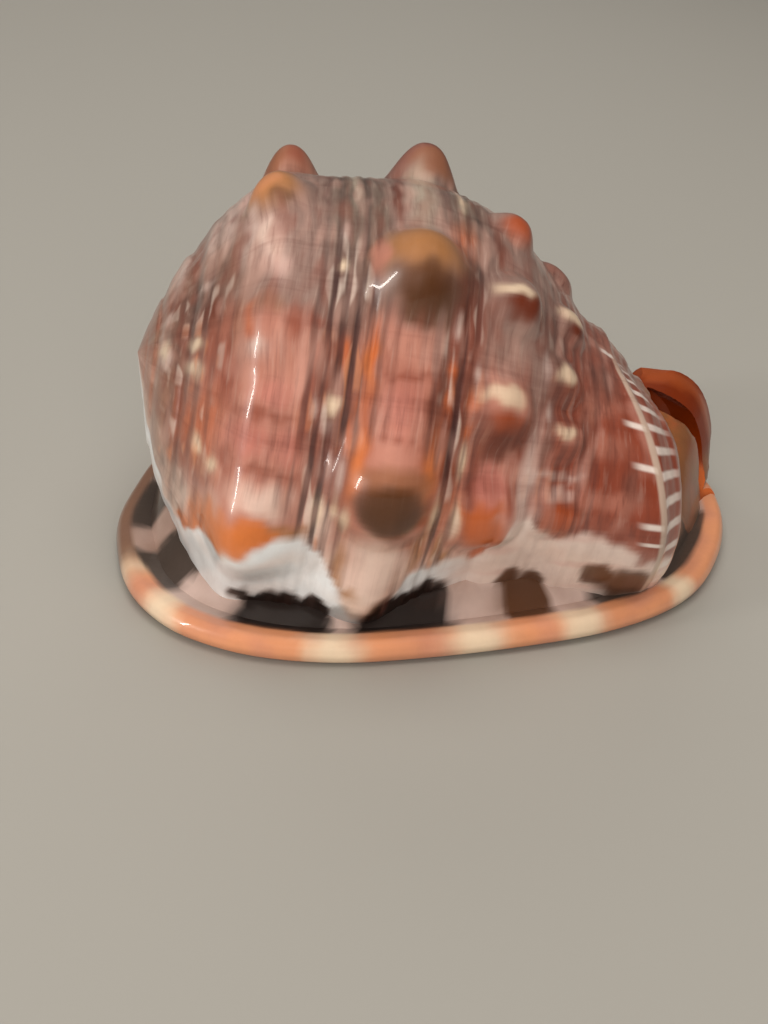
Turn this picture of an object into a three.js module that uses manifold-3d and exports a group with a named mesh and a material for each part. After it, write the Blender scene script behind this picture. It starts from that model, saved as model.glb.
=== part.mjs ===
// Red helmet shell lying on its aperture, grown as one piece and so made as one closed solid: a coiled
// body with rows of blunt knobs, an outer lip and a parietal shield that form the flat base, a toothed
// slot that opens into the hollow of the last whorl, and a siphonal canal that turns up at the front.
// Millimetres. +X runs from the apex to the canal, -Y is the outer lip's side, +Z is up.
import * as THREE from "three";
import { mergeVertices } from "three/addons/utils/BufferGeometryUtils.js";
import Module from "manifold-3d";

const SHELL_COLOUR = 0xb5603f;

// The coil turns about an axis through the apex that sinks towards the canal.
const APEX = new THREE.Vector3(-66.5, -4, 44.5);
const AXIS_SINK = 8;
const TURN_GROWTH = 1.8;
const APEX_TIP = 1;
const GROWTH_STARTS = 6;
const GROWTH_FULL = 26;
const TURN = 360;

// The last whorl's top outline: distance along the axis, distance from it.
const WHORL_PROFILE = [
  [0, 0], [1.5, 6], [6, 18.5], [11.5, 28.5], [17, 36.5], [22, 41.5], [28, 45], [38, 47], [50, 48],
  [60, 48.3], [70, 46.8], [78, 43], [84, 38.5], [92, 32], [104, 23], [113, 15.5], [119, 10],
  [123.5, 4.5], [125, 0],
];

// The front end of the whorl widens and leans forward towards its sides, where the lip grew last.
const SIDE_STARTS = 20;
const SIDE_FULL = 115;
const WIDEN_FROM = 78;
const WIDEN_TO = [106, 125];
const WIDEN_LIP_SIDE = 0.86;
const WIDEN_BACK_SIDE = 0.55;
const LEAN_FROM = [98, 110];
const LEAN_TO = [114, 125];
const LEAN_LIP_SIDE = 10;
const LEAN_BACK_SIDE = 4;

// The foot of the whorl is drawn in over the lip's front half: depth, turn angles, and where along the
// axis it starts and ends.
const TUCK_DEPTH = 4.5;
const TUCK_TURNS = [90, 116];
const TUCK_FROM = [57, 70];
const TUCK_TO = [106, 114];

// Low on the lip side the spire is fuller: how much, its middle and width along the axis, and the turn
// angles where it starts, is full, starts to end and ends.
const SWELL = 5;
const SWELL_AT = 9;
const SWELL_WIDTH = 8;
const SWELL_TURNS = [60, 112];
const SWELL_END_TURNS = [142, 175];

const BODY_ROWS = 42;
const BODY_COLUMNS = 64;
const BODY_FOOT = 3.2;

// Each row of knobs stands on a low spiral ridge: distance along the axis, ridge height, ridge width.
const RIDGES = [[27, 1.4, 6], [56, 1.2, 7], [81, 0.9, 5], [96, 0.6, 4], [113, 0.7, 2.5]];

// Knobs: distance along the axis, turn angle from the top towards the lip, height, foot radius.
const KNOBS = [
  [28, -23.5, 7.4, 8.4], [26, 14, 4, 9.5], [27, 56, 1.6, 11], [28, 104, 5, 15],
  [27, -68, 6, 11], [27, -112, 5, 10], [27, -150, 4, 9],
  [58.4, -21.5, 9.8, 10], [56, 40, 7, 13.5], [55, 88, 7.5, 14], [53, 115, 2.6, 11],
  [56, -72, 7.5, 12], [55, -118, 6, 11],
  [77.5, 9, 3.6, 7], [77.5, 40, 4, 8.5], [76, 68, 4, 9], [76.5, 94, 4, 10],
  [80, -32, 4.5, 8.5], [80, -68, 4, 8.5], [79, -104, 3.4, 8.5],
  [92, 33, 2.4, 6.5], [90, 57, 2.2, 6.5], [91, 73, 2, 6], [91.5, 93, 2.2, 7],
  [92, -8, 2.2, 6.5], [92, -42, 2, 6.5], [92, -76, 2, 6.5],
];
// How flat-topped the knobs are and how soon they run out into the whorl.
const KNOB_FLATNESS = 2.6;
const KNOB_FALL = 1.7;

// A spiral groove runs round the spire where one whorl starts on the one before.
const SUTURE_RADIUS = 27;
const SUTURE_FADE = [28, 38];
const SUTURE_DEPTH = 1.5;
const SUTURE_SHARPNESS = 3;

// Outline of the base in plan, from the apex end round the lip to the canal and back by the shield.
const BASE_OUTLINE = [
  [-69.4, 9], [-71.9, -8], [-70.5, -23], [-66.5, -39], [-59, -51], [-50, -58.5], [-37, -64], [-20, -65.8],
  [-1, -63.4], [18, -59.2], [37, -53.3], [52.5, -44.8], [63.5, -34], [71.5, -19], [76, -5.5], [77.5, 5],
  [77.5, 15], [74, 25], [65, 32], [48, 39], [25, 45], [0, 49], [-25, 50], [-45, 45], [-60, 35], [-66.2, 22.5],
];
// The aperture's edge, a long bent slot, point by point in the same order.
const SLOT_OUTLINE = [
  [-57, -7], [-50, -19.5], [-40, -27.5], [-25, -32.5], [0, -34], [22, -31.5], [40, -25.5], [51, -18.5],
  [53, -13], [48, -11], [37, -16.5], [20, -22.5], [0, -25], [-22, -23.5], [-36, -18.5], [-47, -9],
  [-53, -4],
];
const BASE_COLUMNS = 70;

// Section of the base from its outer edge to the slot: distance in from the edge, height.
const RIM_SECTION = [[2, 0.5], [4.2, 0], [9.5, 0]];
const RIM_TOP_SECTION = [[8.6, 5], [5, 5.6], [2.4, 5.7], [0.5, 4.4], [0, 2.8]];
// The under side then rises to the slot and the top side fills the foot of the body: share of the way.
const UNDER_SECTION = [[0.62, 1.6], [1, 3.6]];
const FILL_SECTION = [[1, 15], [0.72, 13.5]];
const SLOT_DEPTH = 20;
const SLOT_CUT_FROM = -2;

// Teeth inside the lip and folds on the columella: count, first and last place round the base outline,
// length as shares of the way in from the edge, half width, height.
const LIP_TEETH = { count: 20, from: 0.13, to: 0.45, inner: 1.03, outer: 0.6, half: 1.15, height: 1.5 };
const COLUMELLA_FOLDS = { count: 16, from: 0.57, to: 0.84, inner: 1.015, outer: 0.76, half: 1, height: 1 };
// A bar's section across it, 1 for its free edge, and its size and root depth at three places along it.
const BAR_SECTION = [[-1.3, 0], [-0.6, 1], [0.6, 1], [1.3, 0]];
const BAR_SIZES = [{ size: 0.35, root: 1 }, { size: 1, root: 2 }, { size: 0.8, root: 3 }];

// The canal leads the slot out over the front edge of the base and up. Along it: places in the XZ plane
// of its groove's floor and of the free edges of its two walls, and the middle of the groove across.
const CANAL_FLOOR = [
  [42, 14], [52, 13], [59, 13.5], [62.5, 16], [63, 19], [61.5, 22.5], [58.5, 25.5], [55, 27.5], [50, 29],
];
const CANAL_NEAR_EDGE = [
  [42, 3], [58, 2.5], [70, 3], [71.5, 8], [71.2, 13], [70, 19], [66.5, 23.8], [62, 26.5], [56.5, 29],
];
const CANAL_FAR_EDGE = [
  [42, 3], [58, 2.5], [72, 3], [77.5, 8], [77.5, 14], [75.5, 22], [71, 29], [64.5, 32.3], [57.5, 32.5],
];
const CANAL_MIDDLE = [-20, -12, 0, 10, 13, 14, 14, 14, 14];
const GROOVE_HALF = 4.5;
const CANAL_WALL = 5;
const CANAL_BACK = 23.5;
// How far the near wall reaches towards the lip at each place, as a shoulder that drops to the root.
const CANAL_SHOULDER = [5, 5, 12, 19, 21, 19, 15, 10, 7];
const SHOULDER_DROP = 0.4;
const CANAL_ROOT = [44, 17];
const CANAL_ROOT_SHARE = 0.8;
const CANAL_TAPER = 2.5;
const CANAL_EDGE_ROUND = 1.6;
const CANAL_OVERLAP = 1;
const GROOVE_FLOOR_HALF = 2;
const GROOVE_ROUND = 4;
const GROOVE_REACH = 14;

// The hollow of the last whorl: its turn angles, wall, columella and the whorl before it.
const HOLLOW_TURNS = [145, -168];
const HOLLOW_STEP = 18;
const HOLLOW_STATIONS = [24, 38, 54, 72, 88, 102];
const WALL = 5;
const COLUMELLA_RADIUS = 10;
const INNER_CALLUS = 2;
const HOLLOW_FLOOR = 10;
const LEAST_HOLLOW = 2;

// Spacing of the grid that the finished shape's points settle on.
const GRID = 0.004;

const sink = THREE.MathUtils.degToRad(AXIS_SINK);
const axisDirection = new THREE.Vector3(Math.cos(sink), 0, -Math.sin(sink));
const topDirection = new THREE.Vector3(Math.sin(sink), 0, Math.cos(sink));
const lipDirection = new THREE.Vector3(0, -1, 0);

const whorlCurve = new THREE.SplineCurve(WHORL_PROFILE.map(([s, r]) => new THREE.Vector2(s, r)));
const baseCurve = closedCurve(BASE_OUTLINE);
const slotCurve = closedCurve(SLOT_OUTLINE);

function closedCurve(points) {
  const places = points.map(([x, y]) => new THREE.Vector3(x, y, 0));
  return new THREE.CatmullRomCurve3(places, true, "centripetal");
}

function rise(from, to, value) {
  return THREE.MathUtils.smoothstep(value, from, to);
}

function bell(distance, width) {
  return Math.exp(-((distance / width) ** 2));
}

// Radius of the whorl's top outline at a distance along the axis.
function profileRadius(along) {
  const last = WHORL_PROFILE.length - 1;
  const next = WHORL_PROFILE.findIndex(([s]) => s > along);
  if (next < 1) return along <= 0 ? WHORL_PROFILE[0][1] : WHORL_PROFILE[last][1];
  const [s0, r0] = WHORL_PROFILE[next - 1];
  const [s1, r1] = WHORL_PROFILE[next];
  return THREE.MathUtils.mapLinear(along, s0, s1, r0, r1);
}

// Growth of the radius over the turn, 1 at the top; the tip of the spire doesn't grow.
function growth(along, turn) {
  return TURN_GROWTH ** ((turn / TURN) * rise(GROWTH_STARTS, GROWTH_FULL, along));
}

// The smooth coil at a point of the top outline and a turn angle: distance along and from the axis.
function coil(along, radius, turn) {
  const lipSide = turn > 0;
  const side = rise(SIDE_STARTS, SIDE_FULL, Math.abs(turn));
  const widen = (lipSide ? WIDEN_LIP_SIDE : WIDEN_BACK_SIDE) * Math.max(0, along - WIDEN_FROM);
  const leaning = rise(...LEAN_FROM, along) * (1 - rise(...LEAN_TO, along));
  const lean = (lipSide ? LEAN_LIP_SIDE : LEAN_BACK_SIDE) * leaning;
  const ridge = RIDGES.reduce((sum, [at, high, wide]) => sum + high * bell(along - at, wide), 0);
  const tucked = rise(...TUCK_FROM, along) * (1 - rise(...TUCK_TO, along));
  const tuck = TUCK_DEPTH * rise(...TUCK_TURNS, turn) * tucked;
  const grown = (radius + ridge) * growth(along, turn) - tuck + swell(along, turn);
  return {
    along: along + side * lean,
    radius: grown + widen * side * (1 - rise(...WIDEN_TO, along)) - sutureDepth(along, radius, turn),
  };
}

function swell(along, turn) {
  const turns = rise(...SWELL_TURNS, turn) * (1 - rise(...SWELL_END_TURNS, turn));
  return SWELL * bell(along - SWELL_AT, SWELL_WIDTH) * rise(0, GROWTH_STARTS, along) * turns;
}

// Depth of the groove between the spire's whorls, by how many turns back the outline's place was grown.
function sutureDepth(along, radius, turn) {
  const turns = Math.log(Math.max(radius, 1) / SUTURE_RADIUS) / Math.log(TURN_GROWTH) - turn / TURN;
  const groove = (0.5 + 0.5 * Math.cos(2 * Math.PI * turns)) ** SUTURE_SHARPNESS;
  return SUTURE_DEPTH * groove * (1 - rise(...SUTURE_FADE, radius)) * rise(APEX_TIP, GROWTH_STARTS, along);
}

function place({ along, radius }, turn) {
  const angle = THREE.MathUtils.degToRad(turn);
  return APEX.clone()
    .addScaledVector(axisDirection, along)
    .addScaledVector(topDirection, radius * Math.cos(angle))
    .addScaledVector(lipDirection, radius * Math.sin(angle));
}

function coilPoint(along, radius, turn) {
  return place(coil(along, radius, turn), turn);
}

// Outward direction of the smooth coil, from two short steps over it.
function coilNormal(along, turn) {
  const here = coilPoint(along, profileRadius(along), turn);
  const ahead = coilPoint(along + 1, profileRadius(along + 1), turn).sub(here);
  const aside = coilPoint(along, profileRadius(along), turn + 1).sub(here);
  return aside.cross(ahead).normalize();
}

const knobs = KNOBS.map(([along, turn, height, foot]) => ({
  centre: coilPoint(along, profileRadius(along), turn),
  lift: coilNormal(along, turn).multiplyScalar(height),
  foot,
}));

function addKnobs(point) {
  const raised = point.clone();
  for (const { centre, lift, foot } of knobs) {
    const share = Math.max(0, 1 - (point.distanceTo(centre) / foot) ** KNOB_FLATNESS) ** KNOB_FALL;
    raised.addScaledVector(lift, share);
  }
  return raised;
}

const wasm = await Module();
wasm.setup();

function solidFrom(points, triangles) {
  const vertProperties = new Float32Array(points.flatMap((point) => [point.x, point.y, point.z]));
  const triVerts = new Uint32Array(triangles.flat());
  return new wasm.Manifold(new wasm.Mesh({ numProp: 3, vertProperties, triVerts }));
}

// Quads between ring after ring of points, each split in two triangles.
function ringFaces(ringCount, columns, closed) {
  const faces = [];
  const spans = closed ? ringCount : ringCount - 1;
  for (let ring = 0; ring < spans; ring += 1) {
    const here = ring * columns;
    const there = ((ring + 1) % ringCount) * columns;
    for (let column = 0; column < columns; column += 1) {
      const next = (column + 1) % columns;
      faces.push([here + column, there + column, there + next]);
      faces.push([here + column, there + next, here + next]);
    }
  }
  return faces;
}

// A solid through rings of points, with ends filled in as the plain outline of a ring shows.
function loft(rings, outline) {
  const columns = rings[0].length;
  const faces = ringFaces(rings.length, columns, false);
  const last = (rings.length - 1) * columns;
  const turnsLeft = THREE.ShapeUtils.area(outline) > 0;
  for (const face of THREE.ShapeUtils.triangulateShape(outline, [])) {
    const faceTurnsLeft = THREE.ShapeUtils.area(face.map((index) => outline[index])) > 0;
    const [a, b, c] = faceTurnsLeft === turnsLeft ? face : face.reverse();
    faces.push([a, b, c], [last + a, last + c, last + b]);
  }
  return upright(solidFrom(rings.flat(), faces), rings.flat(), faces);
}

// The same solid with its faces turned outwards, whichever way its rings ran.
function upright(solid, points, faces) {
  return solid.volume() > 0 ? solid : solidFrom(points, faces.map(([a, b, c]) => [a, c, b]));
}

// The coiled body with its knobs, cut off level inside the base.
function bodySolid() {
  const outline = whorlCurve.getSpacedPoints(BODY_ROWS);
  const rings = outline.slice(1, -1).map(({ x: along, y: radius }) =>
    Array.from({ length: BODY_COLUMNS }, (_, column) => {
      const turn = TURN * (column / BODY_COLUMNS - 0.5);
      const point = addKnobs(coilPoint(along, radius, turn));
      point.z = Math.max(point.z, BODY_FOOT);
      return point;
    }),
  );
  const points = rings.flat();
  const faces = ringFaces(rings.length, BODY_COLUMNS, false);
  const tail = points.length - BODY_COLUMNS;
  const apex = points.length;
  const tip = points.length + 1;
  points.push(place({ along: outline[0].x, radius: 0 }, 0));
  points.push(place({ along: outline[BODY_ROWS].x, radius: 0 }, 0));
  for (let column = 0; column < BODY_COLUMNS; column += 1) {
    const next = (column + 1) % BODY_COLUMNS;
    faces.push([apex, column, next], [tip, tail + next, tail + column]);
  }
  return upright(solidFrom(points, faces), points, faces);
}

const baseEdge = baseCurve.getSpacedPoints(BASE_COLUMNS).slice(0, -1);
const slotEdge = slotCurve.getSpacedPoints(BASE_COLUMNS).slice(0, -1);

// A ring round the base, a fixed distance in from its edge or a share of the way to the slot.
function ringInside(distance, height) {
  return baseEdge.map((edge, index) => {
    const share = distance / edge.distanceTo(slotEdge[index]);
    return edge.clone().lerp(slotEdge[index], share).setZ(height);
  });
}

function ringBetween(share, height) {
  return baseEdge.map((edge, index) => edge.clone().lerp(slotEdge[index], share).setZ(height));
}

// The outer lip and the parietal shield in one ring round the slot, with a rolled edge.
function baseSolid() {
  const rings = [
    ...RIM_SECTION.map(([distance, height]) => ringInside(distance, height)),
    ...UNDER_SECTION.map(([share, height]) => ringBetween(share, height)),
    ...FILL_SECTION.map(([share, height]) => ringBetween(share, height)),
    ...RIM_TOP_SECTION.map(([distance, height]) => ringInside(distance, height)),
  ];
  const points = rings.flat();
  const faces = ringFaces(rings.length, BASE_COLUMNS, true);
  return upright(solidFrom(points, faces), points, faces);
}

function slotSolid() {
  const shape = new THREE.Shape(flatOutline(slotEdge.map(({ x, y }) => [x, y])));
  const prism = new THREE.ExtrudeGeometry(shape, { depth: SLOT_DEPTH, bevelEnabled: false });
  prism.translate(0, 0, SLOT_CUT_FROM);
  prism.deleteAttribute("normal");
  prism.deleteAttribute("uv");
  const merged = mergeVertices(prism);
  return new wasm.Manifold(
    new wasm.Mesh({
      numProp: 3,
      vertProperties: merged.attributes.position.array,
      triVerts: new Uint32Array(merged.index.array),
    }),
  );
}

// Low bars across the slot's edge, which run from the base's under side into the slot.
function bars({ count, from, to, inner, outer, half, height }) {
  return Array.from({ length: count }, (_, index) => {
    const at = THREE.MathUtils.lerp(from, to, index / (count - 1));
    const edge = baseCurve.getPointAt(at);
    const mouth = slotCurve.getPointAt(at);
    const along = mouth.clone().sub(edge).normalize();
    const across = new THREE.Vector3(-along.y, along.x, 0).multiplyScalar(half);
    const [[lowShare, lowHeight], [topShare, topHeight]] = UNDER_SECTION;
    const ends = [[outer, BAR_SIZES[0]], [(outer + inner) / 2, BAR_SIZES[1]], [inner, BAR_SIZES[2]]];
    const rings = ends.map(([share, { size, root }]) => {
      const ground = THREE.MathUtils.mapLinear(Math.min(share, 1), lowShare, topShare, lowHeight, topHeight);
      const centre = edge.clone().lerp(mouth, share);
      return BAR_SECTION.map(([wide, deep]) =>
        centre.clone().addScaledVector(across, wide * size).setZ(ground + (deep ? -size * height : root)),
      );
    });
    return loft(rings, flatOutline(BAR_SECTION));
  });
}

function flatOutline(places) {
  return places.map(([x, y]) => new THREE.Vector2(x, y));
}

// The place on the way from one place to another, by its share.
function between([x0, z0], [x1, z1], share) {
  return [THREE.MathUtils.lerp(x0, x1, share), THREE.MathUtils.lerp(z0, z1, share)];
}

// A ring at each place along the canal, from a list of places [x, z, y].
function canalRings(section) {
  return CANAL_FLOOR.map((floor, index) => {
    const places = section(floor, CANAL_NEAR_EDGE[index], CANAL_FAR_EDGE[index], CANAL_MIDDLE[index], index);
    return places.map(([x, z, y]) => new THREE.Vector3(x, y, z));
  });
}

// The place a distance past the second of two places on their line.
function beyond([x0, z0], [x1, z1], distance) {
  const length = Math.hypot(x1 - x0, z1 - z0);
  return [x1 + ((x1 - x0) * distance) / length, z1 + ((z1 - z0) * distance) / length];
}

function canalSolid() {
  const rings = canalRings((floor, near, far, middle, index) => {
    const nearIn = middle - GROOVE_HALF;
    const farIn = middle + GROOVE_HALF;
    const shoulderOut = nearIn - CANAL_SHOULDER[index];
    const root = between(floor, CANAL_ROOT, CANAL_ROOT_SHARE);
    const nearRound = beyond(floor, near, -CANAL_EDGE_ROUND);
    const farRound = beyond(floor, far, -CANAL_EDGE_ROUND);
    return [
      [...root, shoulderOut + CANAL_TAPER],
      [...between(nearRound, root, SHOULDER_DROP), shoulderOut],
      [...near, nearIn - CANAL_WALL / 2],
      [...nearRound, nearIn + CANAL_OVERLAP],
      [...farRound, farIn - CANAL_OVERLAP],
      [...far, (farIn + CANAL_BACK) / 2],
      [...farRound, CANAL_BACK],
      [...root, CANAL_BACK - CANAL_TAPER],
    ];
  });
  return loft(rings, flatOutline([[0, 0], [1.2, 0], [3, 1], [2, 2], [2, 4], [3, 5], [2, 6], [0, 6]]));
}

function grooveSolid() {
  const rings = canalRings((floor, near, far, middle) => [
    [...floor, middle - GROOVE_FLOOR_HALF],
    [...beyond(near, floor, -GROOVE_ROUND), middle - GROOVE_HALF],
    [...beyond(floor, near, GROOVE_REACH), middle - GROOVE_HALF],
    [...beyond(floor, far, GROOVE_REACH), middle + GROOVE_HALF],
    [...beyond(far, floor, -GROOVE_ROUND), middle + GROOVE_HALF],
    [...floor, middle + GROOVE_FLOOR_HALF],
  ]);
  const [before, last] = rings.slice(-2);
  rings.push(last.map((point, index) => point.clone().multiplyScalar(2).sub(before[index])));
  return loft(rings, flatOutline([[0, 1], [1, 0], [3, 0], [3, 3], [1, 3], [0, 2]]));
}

// The hollow runs back from the slot under the lip, over the top and down behind.
function hollowSolid() {
  const [first, last] = HOLLOW_TURNS;
  const steps = Math.round((first - last) / HOLLOW_STEP);
  const rings = Array.from({ length: steps + 1 }, (_, step) => {
    const turn = THREE.MathUtils.lerp(first, last, step / steps);
    const down = -Math.cos(THREE.MathUtils.degToRad(turn));
    const roomFor = (along) => (APEX.z - along * Math.sin(sink) - HOLLOW_FLOOR) / down;
    const outer = HOLLOW_STATIONS.map((station) => {
      const { along, radius } = coil(station, profileRadius(station), turn);
      return { along, radius: Math.min(radius - WALL, down > 0 ? roomFor(along) : Infinity) };
    });
    const inner = outer.map(({ along, radius }, index) => {
      const before = profileRadius(HOLLOW_STATIONS[index] * TURN_GROWTH) / TURN_GROWTH;
      const core = Math.max(COLUMELLA_RADIUS, before * growth(HOLLOW_STATIONS[index], turn) + INNER_CALLUS);
      return { along, radius: Math.min(core, radius - LEAST_HOLLOW) };
    });
    return [...outer, ...inner.reverse()].map((spot) => place(spot, turn));
  });
  const count = HOLLOW_STATIONS.length;
  const outline = flatOutline([
    ...HOLLOW_STATIONS.map((_, index) => [index, 1]),
    ...HOLLOW_STATIONS.map((_, index) => [count - 1 - index, 0]),
  ]);
  return loft(rings, outline);
}

// Points on a fine grid, so that no two of them lie almost together, without the faces this flattens.
function settled(solid) {
  const { vertProperties, triVerts } = solid.getMesh();
  const snapped = vertProperties.map((value) => Math.round(value / GRID) * GRID);
  const loose = new THREE.BufferGeometry();
  loose.setAttribute("position", new THREE.BufferAttribute(snapped, 3));
  loose.setIndex(new THREE.BufferAttribute(triVerts, 1));
  const geometry = mergeVertices(loose, GRID / 2);
  const corners = Array.from(geometry.index.array);
  const kept = [];
  for (let start = 0; start < corners.length; start += 3) {
    const face = corners.slice(start, start + 3);
    if (new Set(face).size === 3) kept.push(...face);
  }
  geometry.setIndex(kept);
  return geometry;
}

function shellGeometry() {
  const outside = bodySolid().add(baseSolid()).add(canalSolid());
  const opened = outside.subtract(slotSolid()).subtract(grooveSolid()).subtract(hollowSolid());
  const toothed = [...bars(LIP_TEETH), ...bars(COLUMELLA_FOLDS)].reduce((all, bar) => all.add(bar), opened);
  const geometry = settled(toothed);
  geometry.computeBoundingBox();
  const middle = geometry.boundingBox.getCenter(new THREE.Vector3());
  return geometry.translate(-middle.x, -middle.y, -geometry.boundingBox.min.z);
}

const shell = new THREE.Mesh(
  shellGeometry(),
  new THREE.MeshStandardMaterial({ color: SHELL_COLOUR, roughness: 0.22, metalness: 0 }),
);
shell.name = "shell";

const group = new THREE.Group();
group.add(shell);

export default group;
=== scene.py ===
import math

import bpy
import numpy as np
from mathutils import Matrix, Vector


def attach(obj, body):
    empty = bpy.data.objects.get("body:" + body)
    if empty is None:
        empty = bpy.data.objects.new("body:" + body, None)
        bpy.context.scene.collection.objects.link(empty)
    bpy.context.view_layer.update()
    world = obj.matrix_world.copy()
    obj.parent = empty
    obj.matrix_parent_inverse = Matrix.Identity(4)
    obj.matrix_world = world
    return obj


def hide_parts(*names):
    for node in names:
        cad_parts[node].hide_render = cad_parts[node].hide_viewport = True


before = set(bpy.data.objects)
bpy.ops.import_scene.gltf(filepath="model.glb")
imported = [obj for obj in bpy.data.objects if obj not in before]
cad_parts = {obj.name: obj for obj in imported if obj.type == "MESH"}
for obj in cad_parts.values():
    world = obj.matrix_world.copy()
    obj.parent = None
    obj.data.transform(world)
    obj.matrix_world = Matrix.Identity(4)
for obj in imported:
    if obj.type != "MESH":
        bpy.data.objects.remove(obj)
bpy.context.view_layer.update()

# The shell is shaped in millimetres in its own frame; the row frame's origin is its plan centre.
MM = 0.001
PLAN_CENTRE = np.array([2.93, -9.15, 0.0])

# The coil turns about an axis through the apex that sinks towards the canal.
APEX = np.array([-66.5, -4.0, 44.5])
AXIS_SINK = math.radians(8.0)
AXIS = np.array([math.cos(AXIS_SINK), 0.0, -math.sin(AXIS_SINK)])
TOP = np.array([math.sin(AXIS_SINK), 0.0, math.cos(AXIS_SINK)])
LIP_SIDE = np.array([0.0, -1.0, 0.0])
TURN_GROWTH = 1.8

# The last whorl's top outline: distance along the axis, distance from it.
WHORL_PROFILE = np.array([
    (0, 0), (1.5, 6), (6, 18.5), (11.5, 28.5), (17, 36.5), (22, 41.5), (28, 45), (38, 47), (50, 48),
    (60, 48.3), (70, 46.8), (78, 43), (84, 38.5), (92, 32), (104, 23), (113, 15.5), (119, 10),
    (123.5, 4.5), (125, 0)], float)
# Low spiral ridges that the knobs stand on: distance along the axis, height, width.
RIDGES = [(27, 1.4, 6), (56, 1.2, 7), (81, 0.9, 5), (96, 0.6, 4), (113, 0.7, 2.5)]
# Knobs: distance along the axis, turn from the top towards the lip, height, foot radius.
KNOBS = [
    (28, -23.5, 7.4, 8.4), (26, 14, 4, 9.5), (27, 56, 1.6, 11), (28, 104, 5, 15),
    (27, -68, 6, 11), (27, -112, 5, 10), (27, -150, 4, 9),
    (58.4, -21.5, 9.8, 10), (56, 40, 7, 13.5), (55, 88, 7.5, 14), (53, 115, 2.6, 11),
    (56, -72, 7.5, 12), (55, -118, 6, 11),
    (77.5, 9, 3.6, 7), (77.5, 40, 4, 8.5), (76, 68, 4, 9), (76.5, 94, 4, 10),
    (80, -32, 4.5, 8.5), (80, -68, 4, 8.5), (79, -104, 3.4, 8.5),
    (92, 33, 2.4, 6.5), (90, 57, 2.2, 6.5), (91, 73, 2, 6), (91.5, 93, 2.2, 7),
    (92, -8, 2.2, 6.5), (92, -42, 2, 6.5), (92, -76, 2, 6.5)]
# How flat-topped the knobs are.
KNOB_SHAPE = (2.6, 1.7)
# The front end leans forward at its sides, and widens from a distance along: lip side, rear side.
FRONT_LEANS = (10.0, 4.0)
FRONT_WIDENINGS = (0.86, 0.55)
WIDENS_FROM = 78
# The groove between the spire's whorls, and how far the foot of the last whorl is tucked in at the lip.
SUTURE_DEPTH = 1.5
TUCK = 4.5
# The swell at the apex end behind the lip: height, distance along, width, and the turns that it comes and
# goes in.
SWELL = 5
SWELL_AT = 9
SWELL_WIDTH = 8
SWELL_TURNS = (60, 112)
SWELL_END_TURNS = (142, 175)
# Spiral cords and the beads on them: distance between two along the axis, and in turn.
CORD_PITCH = 2.7
BEAD_PITCH = 6.0
# The pale thread in front of the canal: distance along at the top and at the sides.
THREAD = (104.5, 109.0)
BODY_COLUMNS = 300
BODY_ROWS = 290
BODY_FOOT = 3.2

# Outline of the base in plan, from the apex end round the lip to the canal and back by the shield.
BASE_OUTLINE = [
    (-69.4, 9), (-71.9, -8), (-70.5, -23), (-66.5, -39), (-59, -51), (-50, -58.5), (-37, -64),
    (-20, -65.8),
    (-1, -63.4), (18, -59.2), (37, -53.3), (52.5, -44.8), (63.5, -34), (71.5, -19), (76, -5.5), (77.5, 5),
    (77.5, 15), (74, 25), (65, 32), (48, 39), (25, 45), (0, 49), (-25, 50), (-45, 45), (-60, 35),
    (-66.2, 22.5)]
# The aperture's edge, a long bent slot, in the same order.
SLOT_OUTLINE = [
    (-57, -7), (-50, -19.5), (-40, -27.5), (-25, -32.5), (0, -34), (22, -31.5), (40, -25.5), (51, -18.5),
    (53, -13), (48, -11), (37, -16.5), (20, -22.5), (0, -25), (-22, -23.5), (-36, -18.5), (-47, -9),
    (-53, -4)]
# Section of the base from its outer edge underneath to the slot and back over the top: share of the way
# to the slot, distance in from the edge, height, and how many faces lead to the next place.
BASE_SECTION = [
    (0, 0, 2.8, 3), (0, 0.6, 1.3, 2), (0, 2, 0.5, 2), (0, 4.2, 0, 2), (0, 9.5, 0, 4), (0.62, 0, 1.6, 5),
    (1, 0, 3.6, 3), (1, 0, 15, 2), (0.72, 0, 13.5, 4), (0, 8.6, 5.0, 4), (0, 5, 5.6, 4), (0, 2.4, 5.7, 4),
    (0, 0.5, 4.4, 3)]
BASE_COLUMNS = 340
SLOT_COLUMNS = 220
SLOT_TOP = 18
SLOT_BOTTOM = -2

# Teeth inside the lip and folds on the columella: count, first and last place round the base outline,
# inner and outer end as shares of the way in from the edge, half width, height.
LIP_TEETH = (20, 0.13, 0.45, 1.02, 0.6, 1.35, 1.55)
COLUMELLA_FOLDS = (16, 0.57, 0.84, 1.005, 0.76, 1.2, 1.1)

# The canal: places in XZ of its groove's floor and of its two walls' edges, and its middle in Y.
CANAL_FLOOR = [
    (42, 14), (52, 13), (59, 13.5), (62.5, 16), (63, 19), (61.5, 22.5), (58.5, 25.5), (55, 27.5),
    (50, 29)]
CANAL_NEAR_EDGE = [
    (42, 3), (58, 2.5), (70, 3), (71.5, 8), (71.2, 13), (70, 19), (66.5, 23.8), (62, 26.5), (56.5, 29)]
CANAL_FAR_EDGE = [
    (42, 3), (58, 2.5), (72, 3), (77.5, 8), (77.5, 14), (75.5, 22), (71, 29), (64.5, 32.3), (57.5, 32.5)]
CANAL_MIDDLE = [-20, -12, 0, 10, 13, 14, 14, 14, 14]
CANAL_ROOT = np.array([44.0, 17.0])
CANAL_BACK = 23.5
CANAL_WALL = 5
# How far the near wall reaches towards the lip at each place, as a shoulder that drops towards the root.
CANAL_SHOULDER = [5, 5, 12, 19, 21, 19, 15, 10, 7]
SHOULDER_DROP = 0.4
GROOVE_HALF = 4.5
CANAL_ROWS = 30
CANAL_COLUMNS = 48

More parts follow.
